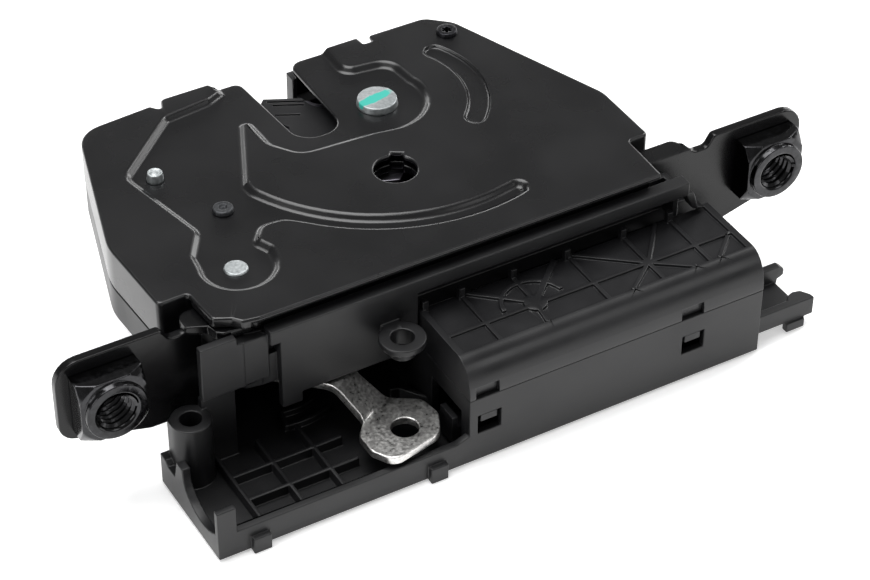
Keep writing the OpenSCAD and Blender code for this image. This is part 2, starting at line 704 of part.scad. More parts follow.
module pawl_pivot() color("#c9c9c7")
    rivet([pawl_x, pawl_y], pawl_pin_r, lever_low - play, press_z, pawl_head_r, 0.5, sleeve_r, 1.2);

stop_h = 1.8;
module stop_rivet() color("#b9bab8") difference() {
    rivet(stop_at, stop_r, lock_bottom, press_z, stop_r + 0.2, stop_h, stop_r + 1, 1);
    // Ring mark of the riveting tool
    translate([stop_at[0], stop_at[1], press_z + stop_h - 0.25]) difference() {
        cylinder(r = 1.15, h = 1);
        translate([0, 0, -eps]) cylinder(r = 0.75, h = 2);
    }
}

locator_h = 1;
module locating_pin() color("#2c2c2e") difference() {
    rivet(locator_at, locator_r, lock_bottom, press_z, locator_r + 0.8, locator_h, locator_r + 1, 1);
    translate([locator_at[0], locator_at[1], press_z + locator_h - 0.4]) cylinder(r = 0.75, h = 1);
}

module cover_screw() color("#1a1a1c") difference() {
    rivet(screw_at, screw_r, lock_bottom + 2, cover_z, screw_r + 0.9, 0.9, screw_r, 0.5);
    for (a = [0, 60, 120])
        translate([screw_at[0], screw_at[1], cover_z + 0.2]) rotate(a) cube([2.2, 0.6, 2], center = true);
}

// Tube of radius r swept along points p with n sides, closed at both ends
module wire(p, r, n) {
    last = len(p) - 1;
    ring = [for (i = [0 : last])
        let (t = unit(p[min(i + 1, last)] - p[max(i - 1, 0)]),
            side = unit(cross(t, abs(t[2]) > 0.8 ? [1, 0, 0] : [0, 0, 1])),
            up = cross(side, t))
        [for (k = [0 : n - 1]) p[i] + r * (cos(360 * k / n) * side + sin(360 * k / n) * up)]];
    polyhedron(
        points = [for (q = ring) each q],
        faces = concat([[for (k = [0 : n - 1]) k]], [[for (k = [n - 1 : -1 : 0]) last * n + k]],
            [for (i = [0 : last - 1]) for (k = [0 : n - 1])
                [i * n + (k + 1) % n, i * n + k, (i + 1) * n + k, (i + 1) * n + (k + 1) % n]]));
}

// Points of a torsion spring: a coil about c from height z with two straight legs
function spring_points(c, z, r, pitch, a0, turns, leg0, leg1) =
    let (steps = 20 * turns, a1 = a0 + 360 * turns)
    concat([[c[0] + r * cos(a0) + leg0 * sin(a0), c[1] + r * sin(a0) - leg0 * cos(a0), z]],
        [for (k = [0 : steps]) let (a = a0 + (a1 - a0) * k / steps)
            [c[0] + r * cos(a), c[1] + r * sin(a), z + pitch * turns * k / steps]],
        [[c[0] + r * cos(a1) - leg1 * sin(a1), c[1] + r * sin(a1) + leg1 * cos(a1), z + pitch * turns]]);

catch_wire_r = 0.6;
pawl_wire_r = 0.5;
module catch_spring() color("#9a9a98") {
    coil_r = collar_r + catch_wire_r + play;
    wire(spring_points(catch_at, back_z + catch_wire_r, coil_r, 1.25, 30, 1.5, 9, 6), catch_wire_r, 8);
}
module pawl_spring() color("#9a9a98")
    wire(spring_points([pawl_x, pawl_y], back_z + pawl_wire_r, 5, 1.1, 200, 2.5, 7, 6), pawl_wire_r, 8);

module striker_bumper() color("#0f0f10") {
    bumper_h = jacket_low - play - back_z;
    difference() {
        translate([mouth_x - bumper_w / 2, bumper_y, back_z])
            cube([bumper_w, mouth_bottom + 0.8 - bumper_y, bumper_h]);
        translate([mouth_x, mouth_bottom + 0.4 + striker_d / 2, back_z - eps])
            cylinder(r = striker_d / 2, h = 10);
    }
}

// Pawl outline in its latched position, about the catch axis
pawl_corners = let (c = [catch_x, catch_y]) [
    concat(polar(c, 22.4, -110.5), 0.5), concat(polar(c, 23, -117.5), 0.8), concat(polar(c, 27, -119.5), 1.2),
    [pawl_x + 5, pawl_y + 6.6, 4], [pawl_x - 2, pawl_y + 5.6, 2], [pawl_x - 2, pawl_y - 5.6, 2],
    [pawl_x + 8, pawl_y - 5.2, 4], [-4, 11.5, 4], concat(polar(c, 32.5, -110.5), 2)];

// Turns what lies in the latched position back to the riding position
module riding() translate([pawl_x, pawl_y, 0]) rotate(-pawl_drop) translate([-pawl_x, -pawl_y, 0]) children();

module pawl() color("#a7a6a4") translate([0, 0, pawl_z]) linear_extrude(pawl_t) riding() difference() {
    union() {
        polygon(rounded(pawl_corners));
        circle_at([pawl_x, pawl_y], pawl_hub_r);
    }
    circle_at([pawl_x, pawl_y], sleeve_r);
}

module pawl_sleeve() color("#b5b5b2") difference() {
    union() {
        translate([pawl_x, pawl_y, lever_low]) cylinder(r = sleeve_r, h = pawl_z + pawl_t - lever_low);
        translate([pawl_x, pawl_y, lever_z]) cylinder(r = sleeve_r + 1.6, h = 1.2);
    }
    translate([pawl_x, pawl_y, lever_low - eps]) cylinder(r = pawl_pin_r + run, h = 30);
}

// Plan outline of the release lever: arm from the hub to the rounded cable pad
lever_corners = [
    [-48.2, 4.5, 3], [-32.5, -10, 5], [-28, -17.2, 1.5], [-31, -20.6, 2.5], [-31, -25.5, 3], [-28.3, -30.2, 3],
    [-16.8, -27.6, 3.5], [-14.2, -22.5, 3.5], [-15, -17.4, 3], [-20.4, -13.8, 2], [-24.6, -9.6, 4],
    [-35.4, 10.6, 3]];
joggle_near = 22.5;
joggle_far = 29;
lever_reach = 50;
// Inner radius of the lever's two bends
bend_r = 2.5;
lever_dir = atan2(lever_hole_y - pawl_y, lever_hole_x - pawl_x);

module release_lever() color("#c4c3c0") difference() {
    intersection() {
        translate([0, 0, -30]) linear_extrude(40) union() {
            polygon(rounded(lever_corners));
            circle_at([pawl_x, pawl_y], pawl_hub_r + 0.8);
        }
        translate([pawl_x, pawl_y, 0]) rotate(lever_dir) rotate([90, 0, 0]) translate([0, 0, -20])
            linear_extrude(40) polygon(rounded([
                [-12, lever_low, 0], [joggle_near - 0.6, lever_low, bend_r],
                [joggle_far - 0.6, pad_low, bend_r + lever_t],
                [lever_reach, pad_low, 0], [lever_reach, pad_z, 0], [joggle_far, pad_z, bend_r],
                [joggle_near, lever_z, bend_r + lever_t], [-12, lever_z, 0]]));
    }
    translate([pawl_x, pawl_y, lever_low - eps]) cylinder(r = sleeve_r, h = 5);
    translate([lever_hole_x, lever_hole_y, pad_low - eps]) cylinder(r = lever_hole_r, h = 5);
}

pocket_back = 17;
pocket_left = -52;
tray_back = -5;
boss_at = [-60.4, -8];
boss_r = 4.1;
boss_z = -8.3;
flange_back = 12;

end_wall_z = -17;
// Heights of the curved ribs on the tray's floor
floor_loop_h = 1.4;
floor_scroll_h = 2.9;
// Left end wall with the cradle for the cable's end, seen along X
module cradle_profile() polygon(concat(
    [[act_front, act_bottom], [tray_back, act_bottom], [tray_back, end_wall_z], [tray_back - 2.4, end_wall_z],
        [tray_back - 3.4, end_wall_z - 1], [tray_back - 6.4, end_wall_z - 1], [tray_back - 7.6, -13.4],
        [-15.2, -13.4]],
    arc([-15.2 - cradle_w, cradle_z + 5.4], [cradle_w, 5.4], 0, -140, 10),
    [[-28.6, -13.6], [-29, -12.7], [act_front, -12.7]]));

module act_tray() {
    translate([tray_left, 0, 0]) rotate([90, 0, 90]) linear_extrude(act_wall) cradle_profile();
    box([tray_left, act_front, act_bottom], [tray_left + 4, act_front + 1.4, -12.7]);
    box([tray_left, act_front, act_bottom], [box_left + eps, tray_back, act_inner_z]);
    box([pocket_left, tray_back - eps, act_bottom], [box_left + eps, pocket_back, act_inner_z]);
    box([tray_left, act_front, act_bottom], [box_left + eps, act_front + act_floor, tray_wall_z]);
    box([tray_left, tray_back - act_wall, act_bottom], [pocket_left + act_wall, tray_back, end_wall_z]);
    box([boss_at[0] + 3, tray_back - act_wall, end_wall_z - eps],
        [pocket_left + act_wall, tray_back, lock_bottom - play]);
    box([pocket_left, tray_back - act_wall, act_bottom], [pocket_left + act_wall, pocket_back, lock_bottom]);
    box([pocket_left, pocket_back - act_wall, act_bottom], [box_left + act_wall, pocket_back, lock_bottom]);
    box([box_left, box_back - eps, act_bottom], [box_left + act_wall, pocket_back, lock_bottom]);
    for (y = [-14.3, -21.3])
        box([-55.5, y - rib_t / 2, act_inner_z - eps], [-31.5, y + rib_t / 2, act_inner_z + floor_rib_h]);
    for (x = [-55.5, -46.5, -37.6])
        box([x - rib_t / 2, act_front + act_floor, act_inner_z - eps],
            [x + rib_t / 2, -7, act_inner_z + floor_rib_h]);
    for (x = [-59.2, -20.8]) box([x, act_front - 1.2, act_bottom - 0.6], [x + 3.8, act_front + eps, -21.4]);
    translate([0, 0, act_inner_z - eps]) linear_extrude(floor_loop_h + eps) floor_loop([-35.5, 13], 19.2, 15.2);
    translate([0, 0, act_inner_z - eps]) linear_extrude(floor_scroll_h + eps)
        polygon([[-17, -7.1], [-14.6, -7.5], [-12.4, -10.8], [-11.6, -12.6], [-11.6, -14], [-13.3, -11.6],
            [-15.3, -8.5], [-17, -8.1]]);
    translate([0, act_front + act_floor, 0]) rotate([90, 0, 0]) linear_extrude(act_floor)
        polygon([[box_left - 3, tray_wall_z - eps], [box_left + eps, tray_wall_z - eps],
            [box_left + eps, -17.6]]);
}

// Two curved ribs on the tray's floor, joined at their left end
module floor_loop(c, r_out, r_in) {
    for (r = [r_out, r_in]) polygon(concat(arc(c, r, 258, 290, 8), arc(c, r - rib_t, 290, 258, 8)));
    polygon([polar(c, r_in - rib_t, 258), polar(c, r_out, 258), polar(c, r_out, 261),
        polar(c, r_in - rib_t, 261)]);
}

module act_boss() {
    translate([boss_at[0], boss_at[1], act_bottom]) cylinder(r = boss_r, h = boss_z - act_bottom);
    box([boss_at[0] - boss_r, boss_at[1], act_bottom], [boss_at[0], boss_at[1] + boss_r / 2, boss_z]);
}

// Plug trough at the right end
trough_h = 4.4;
module act_trough() {
    floor_z = act_bottom + 2.1;
    trough_front = -28;
    trough_back = -15.6;
    box([box_right - eps, trough_front, floor_z], [trough_right - 1.6, trough_back, floor_z + act_floor]);
    box([box_right - eps, trough_front, floor_z], [trough_right, trough_front + act_wall, floor_z + trough_h]);
    // Front corner: a block with its back rounded and its outer corner cut off
    translate([trough_right, trough_front, floor_z]) linear_extrude(trough_h) polygon(rounded([
        [-5, 0, 0], [0.6, 0, 0], [0.4, 1.3, 0.3], [-0.8, 3.2, 0.5], [-2.6, 3.6, 0.8], [-4.2, 3, 0.8],
        [-5, 1.6, 0]]));
    // Rear wall, whose end hooks outwards over a notch
    root = box_right - trough_right - eps;
    translate([trough_right, trough_back, floor_z]) rotate([90, 0, 0]) linear_extrude(act_wall)
        polygon(rounded([[root, 0, 0], [-1.2, 0, 0], [-1, 2.2, 0], [0.5, 2.8, 0.4], [0.5, 4.4, 0.8],
            [-0.7, 5.4, 0.4], [root, 5.4, 0]]));
    box([trough_right - 6.3, -28.6, act_bottom], [trough_right - 1.8, -27, floor_z + eps]);
}

// Windows in the front wall where the cap's snap hooks catch
clips_x = [box_left + 1.9, 37.6];
clip_w = 5.2;
clip_low = -17.6;
clip_high = -13.2;
worm_end = wheel_x - worm_len / 2;
bearing_x = worm_end - 3.4;

module act_box() {
    difference() {
        box([box_left, act_front, act_bottom], [box_right, box_back, parting_z]);
        box([box_left + act_wall, act_front + act_floor, act_inner_z],
            [box_right - act_wall, box_back - act_wall, parting_z + eps]);
        for (x = clips_x)
            box([x, act_front - eps, clip_low], [x + clip_w, act_front + act_floor + eps, clip_high]);
    }
    for (x = clips_x)
        box([x + 0.7, act_front + 0.3, clip_high - 2], [x + clip_w - 0.7, act_front + 1.3, clip_high + eps]);
    difference() {
        box([bearing_x, motor_y - 3, act_inner_z - eps], [bearing_x + 2, motor_y + 3, motor_z + 2.5]);
        translate([bearing_x - eps, motor_y, motor_z]) rotate([0, 90, 0]) cylinder(r = shaft_r + run, h = 3);
    }
    for (x = [motor_x + 3, motor_x + motor_len - 6])
        box([x, motor_y - motor_w / 2, act_inner_z - eps],
            [x + 1.5, box_back - act_wall + eps, motor_z - motor_h / 2]);
    translate([wheel_x, wheel_y, act_inner_z - eps]) cylinder(r = 2.8, h = 0.5);
    box([-2, wheel_y - pinion_r - 4.6, act_inner_z - eps], [2, wheel_y - pinion_r - 1, act_inner_z + 0.7]);
    box([14, wheel_y - pinion_r - 4.6, act_inner_z - eps], [18, wheel_y - pinion_r - 1, act_inner_z + 0.7]);
    box([14, box_back - eps, lock_bottom - 2], [box_right, flange_back, lock_bottom]);
    for (x = [14, 23.2, box_right - 1.4])
        box([x, box_back - eps, lock_bottom - 5], [x + 1.4, flange_back, lock_bottom - 1.9]);
}

tower_r = 4.1;
head_r = 2.8;
head_h = 1.9;
web = 2;
module actuator_housing() color("#1e1e20") difference() {
    union() {
        difference() {
            union() {
                act_tray();
                act_boss();
            }
            translate([boss_at[0], boss_at[1], boss_z - 12]) cylinder(r = 2.1, h = 12 + eps);
        }
        act_box();
        act_trough();
        translate([screw_spots[0][0], screw_spots[0][1], act_bottom])
            cylinder(r = tower_r, h = lock_bottom - act_bottom);
    }
    for (p = screw_spots) {
        translate([p[0], p[1], lock_bottom - web - eps]) cylinder(r = thread_r + fit, h = web + 1);
        translate([p[0], p[1], act_bottom - eps])
            cylinder(r = head_r + fit, h = lock_bottom - web - act_bottom + eps);
    }
    translate([wheel_x, wheel_y, act_bottom + 0.6]) cylinder(r = axle_r + fit / 2, h = 4);
    box([box_left - eps, wheel_y - pinion_r - 5.1, act_inner_z + 0.1],
        [box_left + act_wall + eps, -15.2, -13.5]);
    for (k = [0 : 3]) box([pin_x(k) - 0.6, box_back - act_wall - eps, pin_z - 0.6],
        [pin_x(k) + 0.6, box_back + eps, pin_z + 0.6]);
}

pin_z = -15.5;
socket_x = 25;
function pin_x(k) = socket_x + socket_w / 2 + (k - 1.5) * 3.6;

cap_back = cover_front - 0.2;
cap_rim = cap_top + cap_rib_h;
// Sunk panel of the cap, in which the ribs stand
panel_front = act_front + cap_edge_w;
panel_in = 1.5;
rib_back = cap_back - 0.5;
hub_at = [9.6, -18.8];
hub_r = 2.4;
ring_r = 7.2;
star_at = [35.6, cap_rib_y];
posts_x = [box_left + 1.4, -2, 9.8, 22.3, star_at[0], 46.8];
post_h = 2.5;

// Straight rib on the cap between two points
module cap_rib(a, b, w = rib_t) translate([a[0], a[1], cap_top - eps]) rotate(atan2(b[1] - a[1], b[0] - a[0]))
    translate([0, -w / 2, 0]) cube([norm(b - a), w, cap_rib_h + eps]);

// Ribs on the cap, a ring about the wheel's hub and a row of small posts along the back edge
module cap_ribs() {
    for (x = [-2, 22.8, star_at[0], 46.8]) cap_rib([x, rib_back], [x, panel_front]);
    cap_rib([box_left + panel_in - eps, cap_rib_y], [box_right - panel_in + eps, cap_rib_y]);
    for (p = [[-1, rib_back], [9.6, rib_back], [8.7, panel_front]]) cap_rib(hub_at, p);
    cap_rib(hub_at, [19.6, rib_back], 1.3);
    for (p = [[43.7, rib_back], [23.3, rib_back], [43.3, panel_front], [28.4, panel_front]])
        cap_rib(star_at, p);
    cap_rib([box_right - 2.5, cap_rib_y - 0.7], [48.9, panel_front]);
    translate([hub_at[0], hub_at[1], cap_top - eps]) {
        cylinder(r = hub_r, h = cap_rib_h + eps);
        linear_extrude(cap_rib_h + eps)
            polygon(concat(arc([0, 0], ring_r, 10, 175, 16), arc([0, 0], ring_r - rib_t, 175, 10, 16)));
    }
    for (x = posts_x) box([x - 0.65, cap_back - 1.4, cap_top - eps], [x + 0.65, cap_back, cap_top + post_h]);
}

// Side profile of the cap's high part up to the height top, its front a quarter of an ellipse
module cap_profile(d, top) {
    low = parting_z - (d > 0 ? eps : 0);
    polygon(concat([[cap_back - d, low], [cap_back - d, top - d]],
        arc([panel_front, top - cap_edge_h], [cap_edge_w - d, cap_edge_h - d], 90, 180, 10),
        [[act_front + d, low]]));
}

module actuator_cap() color("#232325") {
    deck_z = parting_z + cap_wall;
    difference() {
        union() {
            translate([box_left, 0, 0]) rotate([90, 0, 90])
                linear_extrude(box_right - box_left) cap_profile(0, cap_rim);
            box([box_left + act_wall + fit, cap_back - 1, parting_z], [box_right, box_back - fit, deck_z]);
            box([box_left, cap_back - 1, parting_z], [box_right, cap_back, deck_z]);
        }
        translate([box_left + cap_wall, 0, 0]) rotate([90, 0, 90])
            linear_extrude(box_right - box_left - 2 * cap_wall) cap_profile(cap_wall, cap_top);
        box([box_left + panel_in, panel_front, cap_top], [box_right - panel_in, cap_back + eps, cap_rim + eps]);
        for (x = clips_x)
            box([x - 0.5, act_front - eps, parting_z - eps],
                [x + clip_w - 0.5, act_front + 1, parting_z + 2.7]);
        box([slot_x, -1, parting_z - eps], [slot_x + slot_w, 1.6, deck_z + eps]);
    }
    difference() {
        translate([wheel_x, wheel_y, axle_top]) cylinder(r = 2.8, h = cap_under - axle_top + eps);
        translate([wheel_x, wheel_y, axle_top - eps]) cylinder(r = axle_r + fit / 2, h = 4);
    }
    cap_ribs();
}

// Round can with a flat top and bottom, seen along X
module motor_section(d = 0) intersection() {
    circle(r = motor_w / 2 - d);
    square([motor_w, motor_h - 2 * d], center = true);
}

// Places a shape drawn in Y and Z about the motor axis so that it runs along +X from x
module along_motor(x) translate([x, motor_y, motor_z]) rotate([90, 0, 90]) children();

module motor_can() color("#b4b5b3") difference() {
    union() {
        along_motor(motor_x) linear_extrude(motor_len) motor_section();
        along_motor(motor_x - 1.6) cylinder(r = 3, h = 1.7);
    }
    along_motor(motor_x + 1) linear_extrude(motor_len) motor_section(0.8);
    along_motor(motor_x - 2) cylinder(r = shaft_r + run, h = 4);
}

module motor_end_cap() color("#e6e4da") difference() {
    union() {
        along_motor(motor_x + motor_len) linear_extrude(motor_cap_len) motor_section();
        along_motor(motor_x + motor_len - 1.5) linear_extrude(1.6) motor_section(0.9);
    }
    along_motor(motor_x + motor_len - 2) cylinder(r = shaft_r + run, h = 4);
}

module motor_shaft() color("#cfcfcd") along_motor(bearing_x + 0.3)
    cylinder(r = shaft_r, h = motor_x + motor_len + 1 - bearing_x);

worm_root_r = worm_pitch_r - gear_m * 0.75;
worm_out_r = worm_pitch_r + gear_m * 0.75;
thread_w = tooth * 0.3;

// Worm: a core with one thread that climbs one tooth pitch in each turn
module worm() color("#c8b26a") difference() {
    union() {
        along_motor(worm_end) cylinder(r = worm_root_r, h = worm_len);
        along_motor(worm_end + 0.6)
            linear_extrude(worm_len - 1.2, twist = -360 * (worm_len - 1.2) / tooth, slices = 52)
                rotate(-360 * (worm_len / 2 - 0.6) / tooth) thread_section();
    }
    along_motor(worm_end - eps) cylinder(r = shaft_r, h = worm_len + 1);
}

// Cross-section of a thread whose flanks are thread_w apart at the pitch radius
module thread_section() {
    half = 180 * thread_w / tooth;
    polygon(concat(arc([0, 0], worm_root_r - 0.3, -half * 1.5, half * 1.5, 4),
        arc([0, 0], worm_out_r, half * 0.7, -half * 0.7, 2)));
}

module motor_terminals() color("#d9c27a") for (s = [-1, 1])
    box([motor_x + motor_len + motor_cap_len, motor_y + s * 4 - 1, motor_z + 2],
        [motor_x + motor_len + motor_cap_len + terminal_len, motor_y + s * 4 + 1, motor_z + 2.5]);

// Spur teeth around a core, thin enough to run with backlash
module gear_teeth(n, phase) {
    r = gear_m * n / 2;
    w = tooth * 0.36;
    circle(r = r - gear_m * 0.9);
    for (k = [0 : n - 1]) rotate(phase + 360 * k / n) polygon([
        [r - gear_m * 1.2, -w * 0.62], [r + gear_m * 0.75, -w * 0.26],
        [r + gear_m * 0.75, w * 0.26], [r - gear_m * 1.2, w * 0.62]]);
}

wheel_low = motor_z - wheel_t / 2;
pinion_low = act_inner_z + 0.8;
axle_top = motor_z + wheel_t / 2 + 4.4;
module worm_wheel() color("#e9e7df") translate([wheel_x, wheel_y, 0]) difference() {
    union() {
        translate([0, 0, wheel_low]) linear_extrude(wheel_t) gear_teeth(wheel_teeth, 90);
        translate([0, 0, pinion_low]) linear_extrude(wheel_low - pinion_low + eps)
            gear_teeth(pinion_teeth, -90);
        translate([0, 0, wheel_low]) cylinder(r = 2.6, h = axle_top - wheel_low - play);
    }
    translate([0, 0, pinion_low - eps]) cylinder(r = axle_r + run, h = 30);
}

module wheel_axle() color("#cfcfcd") translate([wheel_x, wheel_y, act_bottom + 0.6])
    cylinder(r = axle_r, h = axle_top + 2.6 - act_bottom);

rack_line = wheel_y - pinion_r;
rack_high = -18.1;
rack_low = act_inner_z + 0.8;
pusher_x = -13.2;
pusher_t = 1.3;
rack_right = 21;

// Toothed slider that pushes the lever's pad to the left
module rack_slider() color("#d8d6cc") {
    box([pusher_x, rack_line - 4.4, rack_low], [rack_right, rack_line - gear_m * 1.1, rack_high]);
    box([pusher_x, rack_line - 4.4, rack_low], [pusher_x + pusher_t, rack_line + 0.4, pad_z + 0.6]);
    w = tooth * 0.36;
    for (k = [-4 : 4])
        translate([wheel_x + (k + 0.5) * tooth, rack_line, rack_low]) linear_extrude(rack_high - rack_low)
            polygon([[-w * 0.62, -gear_m * 1.2], [w * 0.62, -gear_m * 1.2], [w * 0.26, gear_m * 0.75],
                [-w * 0.26, gear_m * 0.75]]);
}

switch_x = catch_x + catch_hub_r + 1.8;
switch_y = catch_y - switch_len / 2;
switch_z = frame_low - fit - switch_h;
plunger_r = 0.9;
plunger_z = switch_z + switch_h / 2;
module micro_switch() color("#2a2a2d") difference() {
    box([switch_x, switch_y, switch_z], [switch_x + switch_w, switch_y + switch_len, switch_z + switch_h]);
    translate([switch_x - eps, catch_y, plunger_z]) rotate([0, 90, 0]) cylinder(r = plunger_r + fit, h = 3);
}
module switch_plunger() color("#c23b2e") translate([catch_x + catch_hub_r + play, catch_y, plunger_z])
    rotate([0, 90, 0]) cylinder(r = plunger_r, h = 2.8);
module switch_terminals() color("#d9c27a") for (k = [0 : 2])
    box([switch_x + switch_w, switch_y + 2.2 + 4 * k, switch_z + 1],
        [switch_x + switch_w + 2.4, switch_y + 2.8 + 4 * k, switch_z + 2.6]);

module plug_socket() color("#28282b") difference() {
    box([socket_x, box_back, pin_z - socket_h / 2],
        [socket_x + socket_w, box_back + socket_len, pin_z + socket_h / 2]);
    box([socket_x + socket_wall, box_back + 1.2, pin_z - socket_h / 2 + socket_wall],
        [socket_x + socket_w - socket_wall, box_back + socket_len + eps, pin_z + socket_h / 2 - socket_wall]);
    for (k = [0 : 3])
        box([pin_x(k) - 0.45, box_back - eps, pin_z - 0.45], [pin_x(k) + 0.45, box_back + 2, pin_z + 0.45]);
}
module plug_pins() color("#d9c27a") for (k = [0 : 3])
    box([pin_x(k) - 0.4, blade_y + blade_t, pin_z - 0.4],
        [pin_x(k) + 0.4, box_back + socket_len - 3, pin_z + 0.4]);

// Flat conductors: two from the switch and two from the motor, down to the plug's pins
module lead_frame() color("#c9a24a") {
    run_z = back_z + 0.4;
    foot_x = switch_x + switch_w + 1.4;
    for (k = [0, 1]) {
        x = pin_x(k) - 0.5;
        y = switch_y + 6.2 - 4 * k;
        box([x, blade_y, pin_z - 0.4], [x + 1, blade_y + blade_t, run_z + blade_t]);
        box([x, blade_y, run_z], [x + 1, y + 0.6, run_z + blade_t]);
        box([min(x, foot_x), y, run_z], [max(x + 1, foot_x + 0.8), y + 0.6, run_z + blade_t]);
        box([foot_x, y, run_z], [foot_x + 0.8, y + 0.6, switch_z + 1]);
    }
    lead_x = motor_x + motor_len + motor_cap_len + 0.6;
    for (k = [0, 1]) {
        x = pin_x(3 - k) - 0.4;
        y = motor_y + 4 - 8 * k;
        z = motor_z + 2.5 + 1.8 * k;
        box([lead_x, y - 1, motor_z + 2.5], [lead_x + 1, y + 1, z + blade_t]);
        box([lead_x, y - 1, z], [lead_x + 1, blade_y + blade_t, z + blade_t]);
        box([x, blade_y, z], [lead_x + 1, blade_y + blade_t, z + 0.8]);
        box([x, blade_y, pin_z - 0.4], [x + 0.8, blade_y + blade_t, z + 0.8]);
    }
}

module housing_screws() color("#6f7072") for (p = screw_spots) difference() {
    union() {
        translate([p[0], p[1], lock_bottom - web - head_h]) cylinder(r = head_r, h = head_h);
        translate([p[0], p[1], lock_bottom - web]) cylinder(r = thread_r, h = web + lock_wall + back_t - 0.2);
    }
    for (a = [0, 90])
        translate([p[0], p[1], lock_bottom - web - head_h]) rotate(a) cube([3, 0.7, 1.6], center = true);
}

cover_plate();
frame_plate();
weld_nut_left();
weld_nut_right();
lock_housing();
back_plate();
catch_core();
catch_jacket();
catch_pivot();
catch_spring();
striker_bumper();
pawl();
pawl_sleeve();
pawl_pivot();
pawl_spring();
release_lever();
stop_rivet();
locating_pin();
cover_screw();
actuator_housing();
actuator_cap();
motor_can();
motor_end_cap();
motor_shaft();
worm();
motor_terminals();
worm_wheel();
wheel_axle();
rack_slider();
micro_switch();
switch_plunger();
switch_terminals();
plug_socket();
plug_pins();
lead_frame();
housing_screws();
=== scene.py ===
from math import cos, pi, radians, sin

import bmesh
import bpy
from mathutils import Matrix, Vector


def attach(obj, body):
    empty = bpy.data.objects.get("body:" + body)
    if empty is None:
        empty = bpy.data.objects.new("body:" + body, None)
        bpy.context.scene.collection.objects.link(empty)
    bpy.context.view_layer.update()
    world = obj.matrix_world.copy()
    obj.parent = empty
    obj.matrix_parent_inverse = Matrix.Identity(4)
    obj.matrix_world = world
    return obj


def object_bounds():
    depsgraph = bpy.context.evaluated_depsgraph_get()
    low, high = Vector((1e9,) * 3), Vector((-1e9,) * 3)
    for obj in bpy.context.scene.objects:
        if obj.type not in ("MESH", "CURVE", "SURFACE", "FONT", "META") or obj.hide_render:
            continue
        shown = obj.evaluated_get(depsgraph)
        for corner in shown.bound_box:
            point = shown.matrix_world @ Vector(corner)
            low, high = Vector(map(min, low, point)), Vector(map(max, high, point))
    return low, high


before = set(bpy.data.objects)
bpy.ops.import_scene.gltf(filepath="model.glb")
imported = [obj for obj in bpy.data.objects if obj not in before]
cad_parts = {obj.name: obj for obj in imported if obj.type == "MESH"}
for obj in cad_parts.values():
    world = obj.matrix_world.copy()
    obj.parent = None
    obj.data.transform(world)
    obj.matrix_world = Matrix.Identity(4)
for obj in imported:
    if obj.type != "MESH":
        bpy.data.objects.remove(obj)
cad_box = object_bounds()

# Camera: it stands to the left of the latch and above it, as in the photograph, so that the
# ears, the cover plate, the motor's cap and the cable tray all show. A long lens keeps the
# far edge of the cover nearly as wide as the near one.
MM = 0.001
SENSOR_MM = 36
LENS_MM = 113.4
CAMERA_AT = Vector((-214.0, -365.3, 341.6)) * MM
AZIMUTH, ELEVATION, ROLL = radians(-30.1), radians(39.47), radians(-0.29)
NEAREST = 10 * MM
back = Vector((sin(AZIMUTH) * cos(ELEVATION), -cos(AZIMUTH) * cos(ELEVATION), sin(ELEVATION)))
side = Vector((cos(AZIMUTH), sin(AZIMUTH), 0))
top = back.cross(side)
right = cos(ROLL) * side - sin(ROLL) * top
up = sin(ROLL) * side + cos(ROLL) * top
camera = bpy.data.objects.new("camera", bpy.data.cameras.new("camera"))
camera.data.sensor_width = SENSOR_MM
camera.data.lens = LENS_MM
camera.data.clip_start = NEAREST
turned = Matrix((right, up, back)).transposed().to_4x4()
camera.matrix_world = Matrix.Translation(CAMERA_AT) @ turned
bpy.context.scene.collection.objects.link(camera)
bpy.context.scene.camera = camera

# Table: a wide sheet of white paper on a light table, which the latch touches with the lowest
# lugs of its cable tray. The paper is matt and glows, so the latch leaves hardly any shadow, and
# its lower walls are lit from below.


def colour(code):
    """The linear colour of an sRGB hex value such as #808080."""
    parts = [int(code[i : i + 2], 16) / 255 for i in (1, 3, 5)]
    linear = [c / 12.92 if c <= 0.04045 else ((c + 0.055) / 1.055) ** 2.4 for c in parts]
    return (*linear, 1.0)


def add(tree, kind, values=None, links=None, **settings):
    """Adds a shader node with its settings, its input values and its incoming links."""
    made = tree.nodes.new("ShaderNode" + kind)
    for key, value in settings.items():
        setattr(made, key, value)
    for key, value in (values or {}).items():
        made.inputs[key].default_value = value
    for key, output in (links or {}).items():
        tree.links.new(output, made.inputs[key])
    return made


def surface(name):
    """A new empty material: its node tree, its Principled shader and its Object coordinates."""
    made = bpy.data.materials.new(name)
    made.use_nodes = True
    tree = made.node_tree
    tree.nodes.clear()
    shader = add(tree, "BsdfPrincipled")
    add(tree, "OutputMaterial", links={"Surface": shader.outputs["BSDF"]})
    place = add(tree, "TexCoord").outputs["Object"]
    return made, tree, shader, place


PAPER_HALF = 2500 * MM
PAPER_GLOW = 0.36
PAPER_GLOSS = 0.9
paper, tree, shader, place = surface("pale_paper")
shader.inputs["Base Color"].default_value = colour("#fafafa")
shader.inputs["Roughness"].default_value = PAPER_GLOSS
shader.inputs["Emission Color"].default_value = colour("#ffffff")
shader.inputs["Emission Strength"].default_value = PAPER_GLOW
sheet = bmesh.new()
bmesh.ops.create_grid(sheet, x_segments=1, y_segments=1, size=PAPER_HALF)
bmesh.ops.translate(sheet, verts=sheet.verts, vec=(0, 0, cad_box[0].z))
table_mesh = bpy.data.meshes.new("table")
sheet.to_mesh(table_mesh)
sheet.free()
table_mesh.materials.append(paper)
table = bpy.data.objects.new("table", table_mesh)
bpy.context.scene.collection.objects.link(table)

